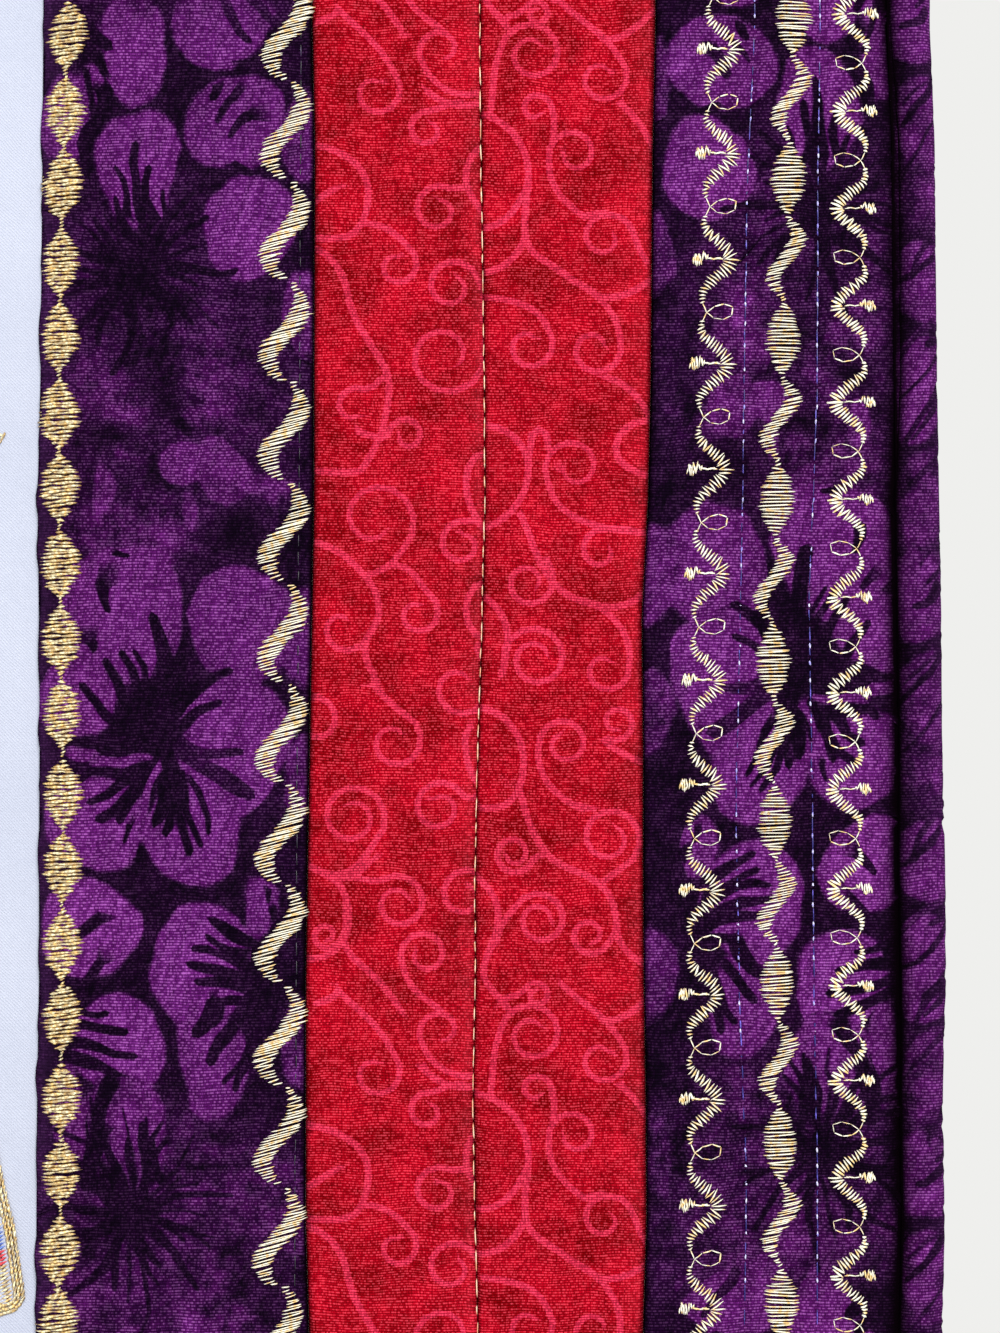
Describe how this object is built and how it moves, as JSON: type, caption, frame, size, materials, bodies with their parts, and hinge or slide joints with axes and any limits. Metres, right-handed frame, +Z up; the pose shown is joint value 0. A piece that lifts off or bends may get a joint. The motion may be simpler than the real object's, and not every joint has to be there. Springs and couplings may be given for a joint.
{
  "type": "embroidered wall hanging",
  "caption": "Rectangular embroidered wall hanging: white ground panel, purple and red strip borders lapped and seamed edge to edge, narrow turned binding.",
  "frame": {"origin": "middle of the hanging's top edge, at half the thickness of its top binding", "axes": "+Z up, +X to the hanging's right as seen from the front, -Y out of its front face"},
  "size_m": [0.5094, 0.005, 0.66],
  "materials": {
    "white_sateen": "satin-weave cotton, slight sheen",
    "purple_batik": "matte printed cotton",
    "red_scroll_print": "matte printed cotton",
    "gold_metallic_thread": "metallic embroidery thread",
    "cream_gold_thread": "glossy embroidery thread",
    "violet_quilting_thread": "glossy sewing thread",
    "red_thread": "glossy embroidery thread",
    "blue_thread": "glossy embroidery thread"
  },
  "bodies": {
    "root": {"ground_panel": "white_sateen", "inner_band_left": "purple_batik", "inner_band_right": "purple_batik", "red_inner_left": "red_scroll_print", "red_inner_right": "red_scroll_print", "red_outer_left": "red_scroll_print", "red_outer_right": "red_scroll_print", "outer_band_left": "purple_batik", "outer_band_right": "purple_batik", "binding_left": "purple_batik", "binding_right": "purple_batik", "binding_top": "purple_batik", "binding_bottom": "purple_batik"}
  },
  "joints": []
}
